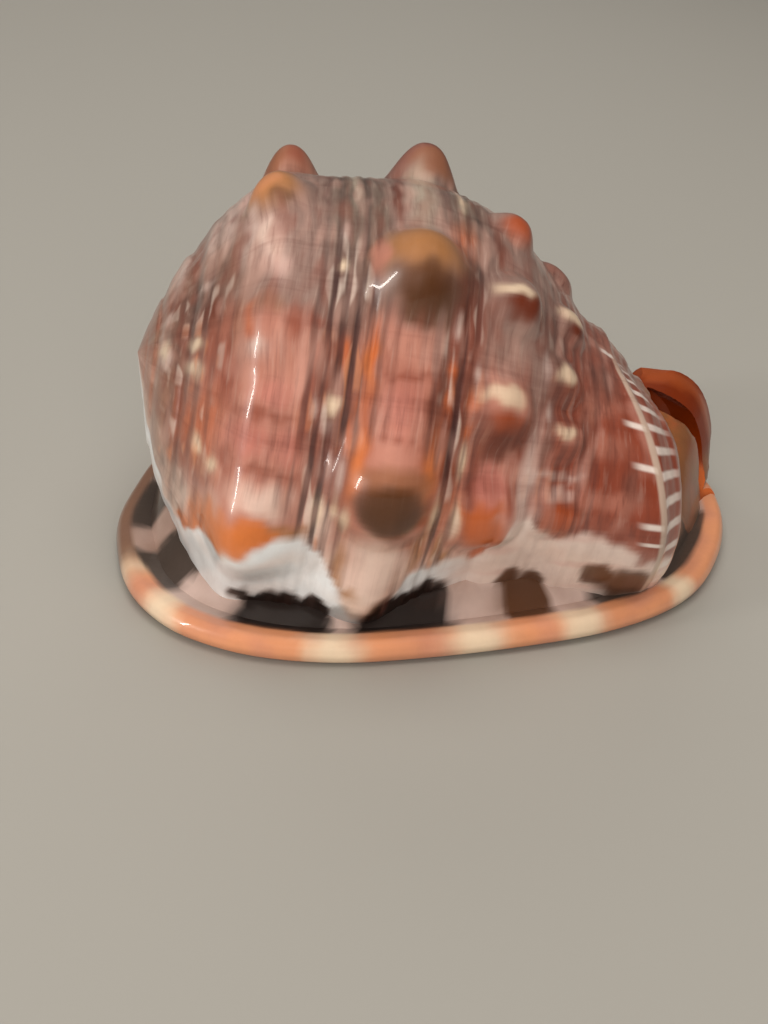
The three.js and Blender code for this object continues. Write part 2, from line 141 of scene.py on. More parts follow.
# The hollow of the last whorl: its turns, where its section is taken, its wall and its core.
HOLLOW_TURNS = (145, -168)
HOLLOW_ROWS = 44
HOLLOW_STATIONS = np.linspace(24, 102, 13)
SHELL_WALL = 5
CORE_RADIUS = 10
HOLLOW_FLOOR = 10


def rise(start, end, value):
    share = np.clip((value - start) / (end - start), 0.0, 1.0)
    return share * share * (3.0 - 2.0 * share)


def bell(distance, width):
    return np.exp(-((distance / width) ** 2))


def ripple(points, size, start):
    # Smooth waves with no pattern to them, from -1 to 1, about a size across.
    dice = np.random.default_rng(start)
    total = 0
    for _ in range(7):
        way = dice.normal(size=points.shape[-1])
        way /= np.linalg.norm(way)
        pace = 2 * math.pi / (size * dice.uniform(0.7, 1.6))
        total = total + np.sin(points @ way * pace + dice.uniform(0, 6.28))
    return total / 4


def smooth_line(places, values, at):
    # A curve through the values that never swings past them.
    slope = np.diff(values) / np.diff(places)
    tangent = np.concatenate([slope[:1], np.zeros(len(values) - 2), slope[-1:]])
    before, after = slope[:-1], slope[1:]
    goes_on = before * after > 0
    tangent[1:-1][goes_on] = (2 * before * after)[goes_on] / (before + after)[goes_on]
    span = np.clip(np.searchsorted(places, at) - 1, 0, len(places) - 2)
    step = places[span + 1] - places[span]
    t = np.clip((at - places[span]) / step, 0.0, 1.0)
    return ((2 * t**3 - 3 * t**2 + 1) * values[span] + (t**3 - 2 * t**2 + t) * step * tangent[span]
            + (3 * t**2 - 2 * t**3) * values[span + 1] + (t**3 - t**2) * step * tangent[span + 1])


def closed_curve(corners, at):
    # Places on a smooth closed curve through the corners, by their share of its length.
    here = np.array(corners, float)
    before, after, beyond = np.roll(here, 1, 0), np.roll(here, -1, 0), np.roll(here, -2, 0)
    t = np.linspace(0, 1, 40, endpoint=False)[:, None, None]
    fine = 0.5 * (2 * here + (after - before) * t + (2 * before - 5 * here + 4 * after - beyond) * t**2
                  + (3 * here - before - 3 * after + beyond) * t**3)
    fine = fine.transpose(1, 0, 2).reshape(-1, here.shape[1])
    fine = np.vstack([fine, fine[:1]])
    run = np.concatenate([[0.0], np.cumsum(np.linalg.norm(np.diff(fine, axis=0), axis=1))])
    return np.stack([np.interp(np.mod(at, 1) * run[-1], run, line) for line in fine.T], -1)


PROFILE_RUN = np.concatenate([[0.0], np.cumsum(np.hypot(*np.diff(WHORL_PROFILE, axis=0).T))])


def radius_at(along):
    return np.interp(along, WHORL_PROFILE[:, 0], WHORL_PROFILE[:, 1])


def front_lean(along, turn):
    # How far the front end of the whorl leans forward at its sides.
    side = rise(20, 115, np.abs(turn))
    return np.where(turn > 0, *FRONT_LEANS) * rise(98, 110, along) * (1 - rise(114, 125, along)) * side


def coil(along, radius, turn):
    # The smooth coil: distance along and from the axis.
    side = rise(20, 115, np.abs(turn))
    widen = np.where(turn > 0, *FRONT_WIDENINGS) * np.maximum(0, along - WIDENS_FROM)
    widen = widen * side * (1 - rise(106, 125, along))
    ridge = sum(high * bell(along - at, wide) for at, high, wide in RIDGES)
    growth = TURN_GROWTH ** (turn / 360 * rise(6, 26, along))
    turns = np.log(np.maximum(radius, 1) / 27) / math.log(TURN_GROWTH) - turn / 360
    suture = (0.5 + 0.5 * np.cos(2 * np.pi * turns)) ** 3 * (1 - rise(28, 38, radius)) * rise(1, 6, along)
    tuck = TUCK * rise(90, 116, turn) * rise(57, 70, along) * (1 - rise(106, 114, along))
    swell = SWELL * bell(along - SWELL_AT, SWELL_WIDTH) * rise(0, 6, along)
    swell = swell * rise(*SWELL_TURNS, turn) * (1 - rise(*SWELL_END_TURNS, turn))
    out = (radius + ridge) * growth + widen + swell - SUTURE_DEPTH * suture - tuck
    return along + front_lean(along, turn), out


def place(along, radius, turn):
    angle = np.radians(turn)[..., None]
    out = np.cos(angle) * TOP + np.sin(angle) * LIP_SIDE
    return APEX + along[..., None] * AXIS + radius[..., None] * out


def knob_places():
    # Each knob's centre, its lift outwards from the smooth coil and its foot radius.
    for along, turn, height, foot in KNOBS:
        alongs = np.array([along, along + 1.0, along])
        turns = np.array([turn, turn, turn + 1.0])
        here, ahead, aside = place(*coil(alongs, radius_at(alongs), turns), turns)
        out = np.cross(aside - here, ahead - here)
        yield here, out / np.linalg.norm(out) * height, foot


def knob_lift(points):
    total = np.zeros_like(points)
    for centre, lift, foot in knob_places():
        near = np.flatnonzero(np.abs(points - centre).max(axis=1) < foot)
        away = np.linalg.norm(points[near] - centre, axis=1) / foot
        total[near] += (np.maximum(0, 1 - away ** KNOB_SHAPE[0]) ** KNOB_SHAPE[1])[:, None] * lift
    return total


def own_coordinates(points):
    # The distance along the outline and the turn of any point of the coil, from its place.
    smooth = points
    for _ in range(5):
        smooth = points - knob_lift(smooth)
    out = smooth - APEX
    turn = np.degrees(np.arctan2(out @ LIP_SIDE, out @ TOP))
    reach = out @ AXIS
    along = reach.copy()
    for _ in range(14):
        along += 0.5 * (reach - front_lean(along, turn) - along)
    return along, turn, np.linalg.norm(points - smooth, axis=1)


def take(*pieces):
    bpy.ops.object.select_all(action="DESELECT")
    for piece in pieces:
        piece.select_set(True)
    bpy.context.view_layer.objects.active = pieces[0]


def spots(piece):
    flat = np.empty(len(piece.data.vertices) * 3)
    piece.data.vertices.foreach_get("co", flat)
    return flat.reshape(-1, 3)


def move_spots(piece, points):
    piece.data.vertices.foreach_set("co", np.ascontiguousarray(points, float).ravel())
    piece.data.update()


def outward(piece):
    take(piece)
    bpy.ops.object.mode_set(mode="EDIT")
    bpy.ops.mesh.select_all(action="SELECT")
    bpy.ops.mesh.normals_make_consistent(inside=False)
    bpy.ops.object.mode_set(mode="OBJECT")
    return piece


def named(name):
    piece = bpy.context.object
    piece.name = piece.data.name = name
    return piece


def tube(name, columns, rows):
    # A closed cylinder with its sides in rows; returns it with each vertex's column and row.
    take_nothing()
    bpy.ops.mesh.primitive_cylinder_add(vertices=columns, radius=1, depth=1)
    piece = named(name)
    bpy.ops.object.mode_set(mode="EDIT")
    bpy.ops.mesh.select_mode(type="EDGE")
    bpy.ops.mesh.select_all(action="DESELECT")
    bpy.ops.object.mode_set(mode="OBJECT")
    at = spots(piece)
    for edge in piece.data.edges:
        first, second = edge.vertices
        edge.select = bool(abs(at[first][2] - at[second][2]) > 0.5)
    bpy.ops.object.mode_set(mode="EDIT")
    bpy.ops.mesh.subdivide(number_cuts=rows - 2)
    bpy.ops.object.mode_set(mode="OBJECT")
    at = spots(piece)
    column = np.round(np.arctan2(at[:, 1], at[:, 0]) / (2 * np.pi) * columns).astype(int) % columns
    row = np.round((at[:, 2] + 0.5) * (rows - 1)).astype(int)
    return piece, column, row


def take_nothing():
    bpy.ops.object.select_all(action="DESELECT")


def combine(piece, other, how):
    take(piece)
    bpy.ops.object.modifier_add(type="BOOLEAN")
    cut = piece.modifiers[-1]
    cut.operation = how
    cut.solver = "MANIFOLD"
    cut.object = other
    bpy.ops.object.modifier_apply(modifier=cut.name)
    bpy.data.objects.remove(other)


def cords(along, turn):
    # Spiral cords: how far they stand out, most between the rows of knobs.
    zone = bell(along - 42.5, 5) + bell(along - 66.5, 4)
    zone = zone + 0.5 * rise(84, 90, along) + 0.6 * bell(along - 13, 5)
    wave = 0.5 + 0.5 * np.cos(2 * np.pi * along / CORD_PITCH)
    bead = 0.5 + 0.5 * np.cos(2 * np.pi * (turn / BEAD_PITCH + 0.37 * np.round(along / CORD_PITCH)))
    return (0.05 + 0.3 * np.clip(zone, 0, 1)) * wave * (0.75 + 0.5 * bead * np.clip(zone, 0, 1))


def thread_place(turn):
    return THREAD[0] + (THREAD[1] - THREAD[0]) * rise(30, 112, np.abs(turn))


def knobbed_whorl():
    take_nothing()
    bpy.ops.mesh.primitive_uv_sphere_add(segments=BODY_COLUMNS, ring_count=BODY_ROWS, radius=1)
    piece = named("shell_skin")
    at = spots(piece)
    run = (0.5 + np.arcsin(np.clip(at[:, 2], -1, 1)) / np.pi) * PROFILE_RUN[-1]
    share = np.arctan2(at[:, 1], at[:, 0]) / np.pi
    share = np.where(share > 0.9999, -1.0, share)
    turn = 180 * (0.8 * share + 0.2 * share**3)
    along = smooth_line(PROFILE_RUN, WHORL_PROFILE[:, 0], run)
    radius = smooth_line(PROFILE_RUN, WHORL_PROFILE[:, 1], run)
    points = place(*coil(along, radius, turn), turn)
    lift = knob_lift(points)
    raised = points + lift
    move_spots(piece, raised)
    outward(piece)
    normals = np.empty(len(piece.data.vertices) * 3)
    piece.data.vertex_normals.foreach_get("vector", normals)
    normals = normals.reshape(-1, 3)
    ends = rise(1, 8, along) * (1 - rise(118, 124, along)) * (1 - rise(150, 170, np.abs(turn)))
    relief = cords(along, turn) * (1 - 0.9 * rise(0.2, 1.6, np.linalg.norm(lift, axis=1)))
    relief += 0.5 * bell(along - thread_place(turn), 0.9)
    relief += 0.12 * ripple(np.stack([turn, along * 0.15], -1), 9, 3) + 0.15 * ripple(raised, 14, 5)
    raised += normals * (relief * ends)[:, None]
    raised[:, 2] = np.maximum(raised[:, 2], BODY_FOOT)
    move_spots(piece, raised)
    return piece


def way_in(around):
    return closed_curve(BASE_OUTLINE, around), closed_curve(SLOT_OUTLINE, around)


def lip_and_shield():
    section = np.array(BASE_SECTION + [BASE_SECTION[0]], float)
    steps = np.concatenate([[0], np.cumsum(section[:-1, 3])])
    minor = int(steps[-1])
    take_nothing()
    bpy.ops.mesh.primitive_torus_add(major_segments=BASE_COLUMNS, minor_segments=minor)
    piece = named("lip_and_shield")
    at = spots(piece)
    column = np.round(np.arctan2(at[:, 1], at[:, 0]) / (2 * np.pi) * BASE_COLUMNS)
    around = np.mod(column / BASE_COLUMNS, 1)
    rim = np.hypot(at[:, 0], at[:, 1]) - 1
    about = np.mod(np.round(np.arctan2(-at[:, 2], rim) / (2 * np.pi) * minor), minor)
    knots = np.arange(len(section), dtype=float)
    knot = np.interp(about, steps, knots)
    share, inset, height = (smooth_line(knots, section[:, column], knot) for column in range(3))
    edge, mouth = way_in(around)
    full = share + inset / np.linalg.norm(mouth - edge, axis=1)
    plan = edge + (mouth - edge) * full[:, None]
    move_spots(piece, np.column_stack([plan, height]))
    return outward(piece)


def slot_cutter():
    take_nothing()
    bpy.ops.mesh.primitive_cylinder_add(vertices=SLOT_COLUMNS, radius=1, depth=1)
    piece = named("slot")
    at = spots(piece)
    around = np.round(np.arctan2(at[:, 1], at[:, 0]) / (2 * np.pi) * SLOT_COLUMNS) / SLOT_COLUMNS
    plan = closed_curve(SLOT_OUTLINE, around)
    move_spots(piece, np.column_stack([plan, np.where(at[:, 2] > 0, SLOT_TOP, SLOT_BOTTOM)]))
    return outward(piece)


def beyond(first, second, distance):
    # The place a distance past the second of two places on their line.
    way = second - first
    return second + way * (distance / np.linalg.norm(way, axis=-1, keepdims=True))


def canal_lines(rows):
    knots = np.arange(len(CANAL_FLOOR), dtype=float)
    at = np.linspace(0, knots[-1], rows)
    lines = []
    for line in (CANAL_FLOOR, CANAL_NEAR_EDGE, CANAL_FAR_EDGE):
        values = np.array(line, float)
        lines.append(np.stack([smooth_line(knots, column, at) for column in values.T], -1))
    return *lines, smooth_line(knots, np.array(CANAL_MIDDLE, float), at)


def canal_shoulder(rows):
    knots = np.arange(len(CANAL_FLOOR), dtype=float)
    return smooth_line(knots, np.array(CANAL_SHOULDER, float), np.linspace(0, knots[-1], rows))


def swept(name, sections, columns, roundness):
    # A tube through one section after another, each a closed curve through its corners.
    piece, column, row = tube(name, columns, len(sections))
    rings = np.array([closed_curve(section, np.arange(columns) / columns) if roundness else section
                      for section in sections])
    move_spots(piece, rings[row, column])
    return outward(piece)


def xz_to_points(corners):
    return [(x, y, z) for (x, z), y in corners]


def canal():
    floor, near, far, middle = canal_lines(CANAL_ROWS)
    root = floor + (CANAL_ROOT - floor) * 0.8
    near_round, far_round = beyond(floor, near, -1.6), beyond(floor, far, -1.6)
    shoulder = near_round + (root - near_round) * SHOULDER_DROP
    out = middle - GROOVE_HALF - canal_shoulder(len(floor))
    sections = [
        xz_to_points([
            (root[i], out[i] + 2.5), (shoulder[i], out[i]),
            (near[i], middle[i] - GROOVE_HALF - CANAL_WALL / 2),
            (near_round[i], middle[i] - GROOVE_HALF + 1), (far_round[i], middle[i] + GROOVE_HALF - 1),
            (far[i], (middle[i] + GROOVE_HALF + CANAL_BACK) / 2),
            (far_round[i], CANAL_BACK), (root[i], CANAL_BACK - 2.5)])
        for i in range(len(floor))]
    return swept("siphonal_canal", sections, CANAL_COLUMNS, True)


def groove_cutter():
    floor, near, far, middle = canal_lines(CANAL_ROWS)
    low_near, low_far = beyond(near, floor, -4), beyond(far, floor, -4)
    out_near, out_far = beyond(floor, near, 14), beyond(floor, far, 14)
    sections = [
        xz_to_points([
            (floor[i], middle[i] - 2), (low_near[i], middle[i] - GROOVE_HALF),
            (out_near[i], middle[i] - GROOVE_HALF), (out_far[i], middle[i] + GROOVE_HALF),
            (low_far[i], middle[i] + GROOVE_HALF), (floor[i], middle[i] + 2)])
        for i in range(len(floor))]
    tip = 2 * np.array(sections[-1]) - np.array(sections[-2])
    return swept("groove", sections + [tip.tolist()], 6, False)


def hollow_cutter():
    sections = []
    for turn in np.linspace(*HOLLOW_TURNS, HOLLOW_ROWS):
        turns = np.full(len(HOLLOW_STATIONS), turn)
        along, outer = coil(HOLLOW_STATIONS, radius_at(HOLLOW_STATIONS), turns)
        outer = outer - SHELL_WALL
        down = -math.cos(math.radians(turn))
        if down > 0:
            outer = np.minimum(outer, (APEX[2] - along * math.sin(AXIS_SINK) - HOLLOW_FLOOR) / down)
        before = radius_at(HOLLOW_STATIONS * TURN_GROWTH) / TURN_GROWTH
        growth = TURN_GROWTH ** (turn / 360 * rise(6, 26, HOLLOW_STATIONS))
        core = np.minimum(np.maximum(CORE_RADIUS, before * growth + 2), outer - 2)
        ring = np.concatenate([place(along, outer, turns), place(along, core, turns)[::-1]])
        sections.append(ring)
    return swept("hollow", sections, 2 * len(HOLLOW_STATIONS), False)


def ridges(name, count, start, end, inner, outer, half, height):
    # Low rounded bars across the slot's edge, modelled once and copied.
    take_nothing()
    bpy.ops.mesh.primitive_uv_sphere_add(segments=10, ring_count=12, radius=1)
    pattern = named(name)
    ball = spots(pattern)
    made = []
    for at in np.linspace(start, end, count):
        bar = pattern.copy()
        bar.data = pattern.data.copy()
        bpy.context.collection.objects.link(bar)
        edge, mouth = way_in(np.array([at]))
        first, last = (edge + (mouth - edge) * share for share in (outer, inner))
        half_way = (last - first)[0] / 2
        along = half_way / np.linalg.norm(half_way)
        across = np.array([-along[1], along[0]])
        low, high = (1.6 + (min(share, 1) - 0.62) / 0.38 * 2 for share in (outer, inner))
        middle = (first + last)[0] / 2
        plan = middle + ball[:, 2:3] * half_way + ball[:, 0:1] * across * half
        ground = (low + high) / 2 + ball[:, 2] * (high - low) / 2
        up = np.where(ball[:, 1] > 0, 2.0, height)
        move_spots(bar, np.column_stack([plan, ground + ball[:, 1] * up]))
        made.append(bar)
    bpy.data.objects.remove(pattern)
    take(*made)
    bpy.ops.object.join()
    return outward(named(name))


def paint(code):
    # A colour for a shader from its usual six-figure code.
    parts = [int(code[i:i + 2], 16) / 255 for i in (0, 2, 4)]
    return np.array([
        part / 12.92 if part <= 0.04045 else ((part + 0.055) / 1.055) ** 2.4 for part in parts])


MAUVE = paint("9c7e73")
PALE_MAUVE = paint("d3b8ad")
DUSK = paint("70564d")
SALMON = paint("c28370")
ROSE = paint("cf8273")
BRICK = paint("8c3f29")
CHESTNUT = paint("6b2609")
BRIGHT_ORANGE = paint("de7a35")
RED_ORANGE = paint("b04e22")
AMBER = paint("ab7444")
CREAM = paint("eed5b6")
OLIVE_BROWN = paint("563013")
BLUE_WHITE = paint("f4f7f8")
BLUSH = paint("ecd0c0")
TAN = paint("966040")
SOOT = paint("41362f")
COAL = paint("040000")
TAUPE = paint("8a6550")
PEACH = paint("e59a6e")
DEEP_ORANGE = paint("c4622f")
PLUM = paint("5c3733")
THREAD_GREY = paint("c9b4a2")
BAR_WHITE = paint("f2e4da")
RED_BROWN = paint("7a2b08")
GREY_BROWN = paint("716156")
ROSE_BROWN = paint("a56d57")
GREY_BEIGE_AND_SHEEN = paint("b7a896")
SMOKE = paint("5c5148")
PINK_GLINT_AND_STRIPE = paint("dcb6aa")
RUST_BROWN = paint("8c5733")
RIM_END_BROWN = paint("735848")
STREAK_BROWN = paint("5f2f26")
STREAK_PALE = paint("f3d9c9")
LINE_BROWN = paint("3f2a29")
BEAD_PALE = paint("ead9cb")
BEAD_WARM = paint("d98d62")
CLOUD_BROWN = paint("8f4b39")
CLOUD_PALE = paint("e6b5a4")
GROWTH_BROWN = paint("9a6257")
MOTTLE_PALE = paint("b4a8a4")
MOTTLE_GREY = paint("7d7d7d")
FLOOR_PALE = paint("9d9a93")
ROOM_PALE = paint("d6d2ca")
WHITE = paint("ffffff")

# The whorl's ground colour by turn from the top, at each side; over the top its mauve is partly painted
# sheen, paler and greyer than the shell's own colour.
GROUND_TURNS = [-180, -140, -105, -70, -40, 0, 30, 50, 60, 84, 98, 112, 180]
GROUND_AND_TOP_SHEEN = [BLUSH, SALMON, BRICK, BRICK, DUSK, MAUVE, MAUVE, MAUVE, SALMON, SALMON, SALMON, BLUSH, BLUSH]

# Soft patches of colour on the whorl, in the order that they are laid on: a colour and its strength, then
# the patches' places along and in turn and their half sizes.
WASHES = [
    (BRICK, 0.95, [
        (103, 75, 14, 45), (99, -60, 16, 60), (90, 66, 8, 20), (66, 62, 5, 24), (110, 75, 6, 40)]),
    (TAUPE, 0.7, [(6, 60, 8, 50), (10, 100, 6, 30), (14, 40, 7, 22)]),
    (BRICK, 0.55, [
        (98, 22, 12, 24), (43, 78, 6, 22), (13, 94, 4, 14), (15, 58, 6, 14), (20, 70, 3, 6),
        (7, 34, 3, 14),
        (11.4, 20, 0.9, 18), (90, 48, 5, 8)]),
    (GREY_BROWN, 0.92, [(42, 8, 6.5, 44), (66, 6, 4.6, 30), (47.4, 22, 1.6, 20)]),
    (DUSK, 0.8, [
        (43, 46, 5, 12), (66.5, 38, 4.4, 14), (87, 42, 4, 30), (13, 42, 5, 16), (62, 64, 1.6, 16)]),
    (DUSK, 0.6, [
        (43, 74, 6, 22), (67, 68, 4, 16), (10, 60, 3, 20), (74, 24, 4, 12), (37.8, 66, 1.2, 20)]),
    (DEEP_ORANGE, 0.6, [
        (48, 74, 2, 20), (63, 86, 2.8, 12), (18.5, 82, 3, 7), (16, 90, 4, 8), (68, 88, 2, 10),
        (24, 55, 1.4, 7),
        (65, 27, 3, 7)]),
    # Two of these pale marks are painted highlights: the one at 26 along, 62.5 turn is a glint on the low
    # knob, and the one at 7 along, 67 turn a highlight along the apex end; the rest are pale stripes and
    # patches.
    (PALE_MAUVE, 0.85, [
        (14, 12, 1.4, 16), (18, -10, 2.4, 20), (17, 12, 1.6, 18), (26, 62.5, 2.4, 2.6), (7, 67, 1.6, 8),
        (21.5, 24, 1.6, 14), (84, 84, 2.6, 13), (85, 96, 4, 6), (8, 8, 1.6, 20)]),
    # Pale grey-beige on top of the second ridge and along a cord of the first saddle, partly painted
    # sheen.
    (GREY_BEIGE_AND_SHEEN, 0.85, [(56.4, 8, 3, 22), (42.2, 2, 1, 14)]),
    # Painted highlight: the pink marks from 24 to 28 along and 29 to 42 in turn are a pink-white glint on
    # the first ridge; the mark at 19.8 along is a pale pink stripe.
    (PINK_GLINT_AND_STRIPE, 0.85, [(24.2, 29, 2, 5), (26, 36, 2.6, 6), (28, 42, 2.4, 4), (19.8, 2, 1.4, 12)]),
    (PLUM, 0.5, [(51, 4, 0.8, 20), (36.4, 10, 0.8, 16), (62, 4, 0.8, 16)]),
    (MAUVE, 0.85, [
        (33, 35, 4.4, 12), (76, 26, 5, 7), (76, 54, 6, 7), (83, 58, 3, 10), (24, 47, 4, 4),
        (86, 22, 4, 14)]),
    (SALMON, 0.85, [(55, 58, 5, 6), (32, 67, 5, 7), (31, 58, 5, 5)]),
    (ROSE, 0.9, [(26.5, 83, 5, 4.4), (75, 84, 3.2, 5)]),
    (ROSE, 0.7, [(55, 70, 4, 6), (34.5, 83, 3, 4), (30, 72, 4, 3)]),
    (BRICK, 0.65, [
        (35.5, 54, 3.4, 2.6), (33, 57, 2.4, 2), (21, 66, 1.4, 10), (29, 77, 7, 1.2),
        (31, 89.4, 7, 1.1), (37, 72, 1.2, 14),
        (22.5, 90, 1.4, 4), (55.5, 64, 4.4, 0.8), (55.5, 76.4, 4.4, 0.7)]),
    (TAN, 0.5, [(22, 56, 1.4, 7), (28, 52, 3, 3), (18, 96, 2.4, 4)]),
    (SALMON, 0.55, [(101, 74, 3, 3), (98, 63, 4, 4), (102, 88, 3, 2.6), (97, 90, 2, 4)]),
    (DUSK, 0.5, [(96.5, 68, 2, 14), (100, 52, 4, 9), (104, 84, 1.2, 6), (87, 74, 1, 8)]),
    # Painted highlight: blush over the same glint on the first ridge.
    (BLUSH, 0.75, [(24.4, 30, 2, 4.6), (26.6, 36.5, 2, 3.6)]),
    (BLUSH, 0.8, [(56, 104, 6.4, 9), (31, 94, 6.4, 3), (43, 98, 3, 5)]),
    (CHESTNUT, 0.6, [
        (51.2, 12, 1.2, 18), (66, 76, 3, 10), (46, 82, 1.6, 10), (65.5, 44, 2.6, 8), (94, 91, 6, 2),
        (73, 24, 1.4, 8),
        (39.4, 66, 1, 16), (61.5, 70, 1.2, 10), (16, 50, 2, 5), (44, 81.5, 2, 1.6)]),
    (BRIGHT_ORANGE, 0.7, [(48.2, 83, 1.6, 6), (62.6, 83, 1.6, 6), (48, 62, 1.2, 5)]),
    (AMBER, 0.8, [
        (48.4, 107, 1.5, 6), (63.6, 101, 1.4, 6), (68, 102, 1.3, 6), (51, 112.6, 3, 1.4),
        (70.4, 105, 0.9, 4)])]

# The blue-white callus round the foot of the last whorl: where it starts in turn, by distance along.
CALLUS_STARTS = [
    (0, 112), (6, 122), (11, 132), (14, 133), (16, 127), (19, 117), (22, 112), (26, 109.5), (31, 106),
    (34, 102),
    (37, 101), (41, 101.5), (44, 104.5), (46.8, 109), (50, 113), (54, 119), (60, 119), (62, 112),
    (64, 108), (70, 108),
    (73, 106),
    (77, 109), (79.6, 106), (80.4, 96), (82, 92), (86, 92), (89, 97), (93, 100.5), (96, 98), (101, 97),
    (103, 99),
    (107, 106), (125, 112)]

# Spots on and about the knobs, laid on in the same way; the caps have the sharper edges.
KNOB_SPOTS = [
    (ROSE_BROWN, 0.9, [(28, -21, 8, 10)]),
    (BRICK, 0.55, [(58.4, -20, 9, 8), (29, -19, 3, 3)]),
    (TAN, 0.6, [(24, -19, 3, 8), (60, -15, 6, 4)]),
    # Pale grey-beige on the upper side of the top-right knob, partly painted sheen.
    (GREY_BEIGE_AND_SHEEN, 0.7, [(57, -9, 4, 4)]),
    (AMBER, 0.95, [
        (25.8, 15.6, 5.6, 6.8), (55.3, 37, 8.6, 8), (35.5, 100.4, 3.4, 2.8), (39.4, 100.4, 2, 1.6)]),
    (PEACH, 0.5, [(24.6, 14.6, 3.6, 4.6)]),
    (BRICK, 0.8, [(72, 84, 1.4, 7), (80.4, 84, 1.4, 8)]),
    (SALMON, 0.9, [(47.4, 38.5, 1.8, 6), (91.4, 72, 3.6, 3.4)]),
    (OLIVE_BROWN, 0.5, [(27.6, 21, 2.2, 1.5)]),
    (BRIGHT_ORANGE, 0.97, [
        (26.5, 103.4, 6, 4.4), (31.4, 101.4, 5, 3.4), (22, 106.6, 3, 5), (19.2, 111.4, 2, 6),
        (17.4, 119, 1.6, 9),
        (15.8, 127, 1.4, 8)]),
    (DEEP_ORANGE, 0.95, [(73.2, 93, 3.4, 4.6), (76, 98, 4, 6), (78, 104, 2.4, 5), (74, 90, 5, 1.6)]),
    (ROSE, 0.85, [(75.6, 85, 3.8, 4.4)]),
    (RED_ORANGE, 0.95, [(77, 12, 3.2, 5.4)]),
    (RED_ORANGE, 0.8, [(92, 93.4, 4.6, 3.4)]),
    (CREAM, 0.82, [
        (75.4, 39.4, 4.4, 2.4), (74.8, 64.6, 4.6, 2.4), (91, 31, 2.8, 4), (89.3, 55, 1.9, 3.4),
        (90.4, 71.4, 2.4, 2.2)]),
    (CHESTNUT, 0.96, [
        (77.6, 44, 5, 3), (79.6, 41.5, 2, 3.4), (76.6, 74, 6.4, 5.8), (92.6, 37, 2.6, 2.2)]),
    (RED_ORANGE, 0.5, [(76, 70.4, 3.4, 2)]),
    (OLIVE_BROWN, 0.88, [(56.8, 46.4, 7.6, 5), (57.6, 49.6, 5, 3.6)]),
    (PALE_MAUVE, 0.6, [(91.4, 82.8, 6, 1.4), (91.8, 87.4, 3.6, 1.7)])]
KNOB_CAPS = [
    (TAN, 0.8, [(56, 84, 7.6, 3.4)]),
    (OLIVE_BROWN, 0.97, [(56, 89, 7.8, 5.2), (56, 92, 6, 4.4)])]
# Degrees in the turn of an arc as long as its radius, and the turn that the knobs behind start from.
DEGREES_ROUND = 57.3
REAR_FROM = -30
# The knobs behind have a pale side and a dark side: distance along, and the colour of the dark side.
REAR_COATS = {
    27: BRIGHT_ORANGE, 56: OLIVE_BROWN, 55: OLIVE_BROWN, 80: RED_ORANGE, 79: CHESTNUT, 92: CHESTNUT}

# Pale and orange beads that stand out between the rows of knobs, laid on in the same way.
BEADS = [
    (CREAM, 0.85, [
        (40.3, 40.5, 1, 2.2), (42, 71.6, 1.5, 2.2), (42, 95.6, 1.4, 3.4), (69, 79.5, 0.8, 3),
        (65.3, 92, 1, 4.6),
        (69.5, 93, 0.9, 4), (13.7, 61.5, 1.6, 2.4), (14, 70, 1.6, 2.6), (65.4, 6, 1, 9),
        (47.6, 95, 1.1, 3.2),
        (45.4, 93, 0.7, 3), (6.6, 64, 1.2, 6), (16.6, 92, 1.4, 2.6), (20, 93, 1.2, 2.4)]),
    (PALE_MAUVE, 0.7, [
        (14, 39, 1.5, 2), (6.5, 44, 1, 4), (42, 85, 1.3, 3.6), (41, 76.6, 1.2, 2),
        (69.5, 60, 0.8, 2.4), (45.4, 86, 0.8, 3.4),
        (38.4, 74, 0.8, 2), (85, 54, 0.9, 5), (87, 66, 0.8, 3), (40.4, 30, 0.9, 4), (64.4, 52, 0.9, 3)]),
    (DEEP_ORANGE, 0.8, [
        (42.7, 60.6, 1.2, 3.6), (48.3, 59, 0.8, 5), (64.4, 61.6, 1.1, 2.4), (64.2, 67.6, 1, 2.4),
        (68.8, 67.4, 0.9, 2.6),
        (45.5, 78, 0.8, 3), (69, 73.6, 0.8, 2.4)])]

# White bars that end at the thread, on the knobs' side: turn and half width in turn.
BARS = [(66.8, 1.6), (79, 1.4), (94, 1.3), (99.4, 0.9), (31, 3), (-35, 1.6), (-62, 1.6)]
# How far apart the white bars in front of the thread are, in turn.
BAR_PITCH = 7.3

# The smooth bulge above the lip, where no lines run: along, turn, half sizes.
LIP_BULGE = (55, 105, 8, 12)

# Where the shelf's dark patches climb up the foot of the whorl, under the lip bulge partly as its painted
# shadow: along, turn, half sizes.
CLIMBS_AND_BULGE_SHADOW = [
    (31, 124, 4, 3.4), (39, 123.5, 6, 4.4), (46.4, 121, 3.4, 4.6), (60, 118.4, 4.6, 5),
    (68, 119.4, 6, 4.6), (87, 118, 3.4, 4.6),
    (93, 119, 3, 4.4), (102.6, 112, 1.6, 5.4), (106, 116, 3, 8)]

# Dark and pale patches on the shelf behind the rim: start and end round the outline, colour.
SHELF_PATCHES = [
    (0.955, 1.0, SOOT), (0.0, 0.06, SOOT), (0.087, 0.136, SOOT), (0.184, 0.241, COAL),
    (0.255, 0.3065, COAL),
    (0.336, 0.361, OLIVE_BROWN), (0.388, 0.422, SOOT), (0.44, 0.535, SOOT),
    (0.56, 0.59, SOOT), (0.63, 0.66, OLIVE_BROWN), (0.70, 0.73, OLIVE_BROWN), (0.78, 0.81, SOOT),
    (0.87, 0.91, SOOT)]
# Cream patches on the rim: middle round the outline, half length.
RIM_CREAM = [
    (0.145, 0.012), (0.243, 0.013), (0.315, 0.014), (0.372, 0.012), (0.441, 0.009), (0.6, 0.012),
    (0.68, 0.013), (0.76, 0.012), (0.84, 0.012), (0.92, 0.012)]


def over(under, colour, share):
    return under + (colour - under) * share[:, None]


